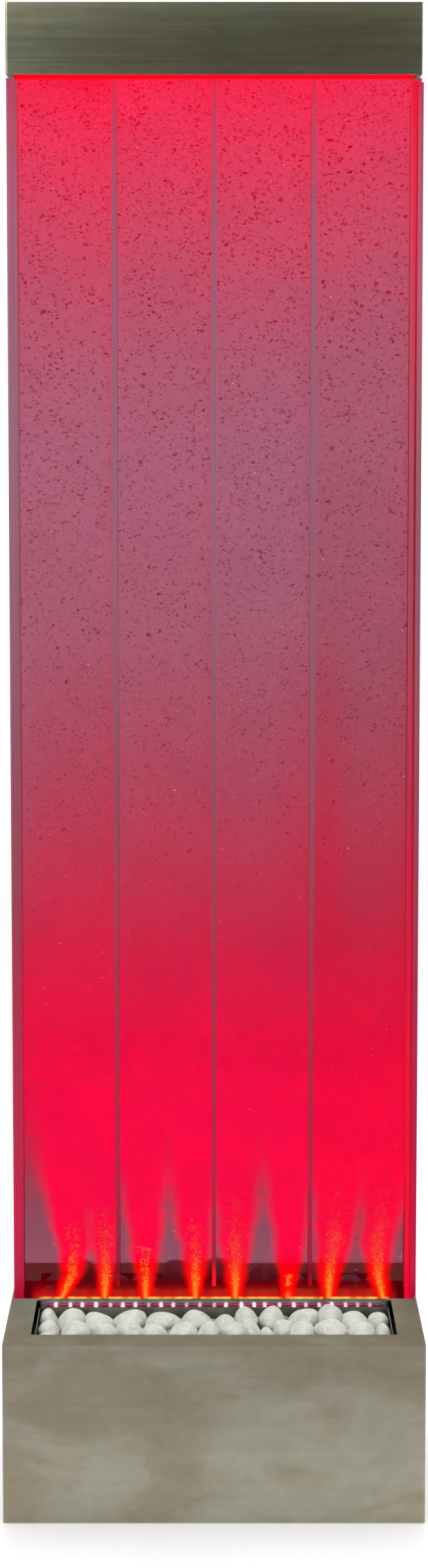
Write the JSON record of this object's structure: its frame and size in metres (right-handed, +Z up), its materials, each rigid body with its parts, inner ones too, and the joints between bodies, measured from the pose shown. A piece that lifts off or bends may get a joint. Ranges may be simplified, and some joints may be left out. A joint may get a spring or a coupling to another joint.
{
  "type": "bubble wall water fountain",
  "caption": "Tall clear water panel with rising air bubbles and red LED light, standing on a steel base with pebble trays and closed by a steel cap.",
  "frame": {"origin": "centre of the outline at floor level, under the rubber feet", "axes": "+X to the object's right as seen from the front, +Y to the back, +Z up"},
  "size_m": [0.508, 0.36, 1.809],
  "materials": {
    "steel": "horizontal brushed, satin",
    "dark_steel": "satin",
    "inner_steel": "plain rolled",
    "acrylic": "clear, polished",
    "opal": "opal, lit red from above",
    "led": "lit",
    "aluminium": "extruded",
    "stone": "polished river pebble",
    "black_plastic": "moulded",
    "white_plastic": "moulded",
    "rubber": "moulded",
    "silicone": "translucent",
    "ribbon": "flat cable",
    "brass": "turned",
    "red_plastic": "moulded"
  },
  "bodies": {
    "stand": {"base_housing": "steel", "control_plate": "dark_steel", "bottom_pan": "inner_steel", "inner_frame": "inner_steel", "tank_beam": "inner_steel", "hinge_bracket_top": "inner_steel", "hinge_bracket_bottom": "inner_steel", "tank_front_sheet": "acrylic", "tank_rear_sheet": "acrylic", "tank_side_left": "acrylic", "tank_side_right": "acrylic", "divider_1": "acrylic", "divider_2": "acrylic", "divider_3": "acrylic", "tank_bottom_bar": "acrylic", "bottom_led_strip": "led", "bottom_led_channel": "aluminium", "cable_duct": "aluminium", "air_manifold": "black_plastic", "air_pump_cover": "black_plastic", "check_valve": "black_plastic", "flow_valve_body": "black_plastic", "control_box": "black_plastic", "control_box_lid": "black_plastic", "power_inlet": "black_plastic", "switch_housing": "black_plastic", "door_magnet": "black_plastic", "air_pump_body": "white_plastic", "foot_1": "rubber", "foot_2": "rubber", "foot_3": "rubber", "foot_4": "rubber", "pump_mat": "rubber", "pump_hose": "silicone", "riser_hose": "silicone", "drain_hose": "silicone", "led_ribbon": "ribbon", "drain_valve_body": "brass", "air_nozzle_1": "brass", "air_nozzle_2": "brass", "air_nozzle_3": "brass", "air_nozzle_4": "brass", "air_nozzle_5": "brass", "air_nozzle_6": "brass", "air_nozzle_7": "brass", "air_nozzle_8": "brass"},
    "cap": {"cap_shell": "steel", "cap_diffuser_front": "opal", "cap_diffuser_rear": "opal", "top_led_channel": "aluminium", "top_led_strip": "led"},
    "front_tray": {"front_tray": "dark_steel", "front_pebbles": "stone"},
    "rear_tray": {"rear_tray": "dark_steel", "rear_pebbles": "stone"},
    "door": {"rear_door": "steel", "door_pull": "black_plastic"},
    "rocker": {"switch_rocker": "red_plastic"},
    "air_knob": {"flow_knob": "black_plastic"},
    "drain_lever": {"drain_lever": "red_plastic"}
  },
  "joints": [
    {"name": "cap_lift", "type": "slide", "parent": "stand", "child": "cap", "axis": [0, 0, 1], "range_m": [0, 0.08]},
    {"name": "front_tray_lift", "type": "slide", "parent": "stand", "child": "front_tray", "axis": [0, 0, 1], "range_m": [0, 0.08]},
    {"name": "rear_tray_lift", "type": "slide", "parent": "stand", "child": "rear_tray", "axis": [0, 0, 1], "range_m": [0, 0.08]},
    {"name": "door_hinge", "type": "hinge", "parent": "stand", "child": "door", "pos_m": [-0.195, 0.1735, 0.03], "axis": [0, 0, 1], "range_deg": [0, 100]},
    {"name": "rocker_tilt", "type": "hinge", "parent": "stand", "child": "rocker", "pos_m": [0.156, 0.16, 0.07], "axis": [-1, 0, 0], "range_deg": [0, 20]},
    {"name": "air_knob_turn", "type": "hinge", "parent": "stand", "child": "air_knob", "pos_m": [0.212, 0.17, 0.095], "axis": [0, 1, 0], "range_deg": [0, 270]},
    {"name": "drain_lever_turn", "type": "hinge", "parent": "stand", "child": "drain_lever", "pos_m": [-0.16, 0.134, 0.064], "axis": [0, 0, -1], "range_deg": [0, 90]}
  ]
}
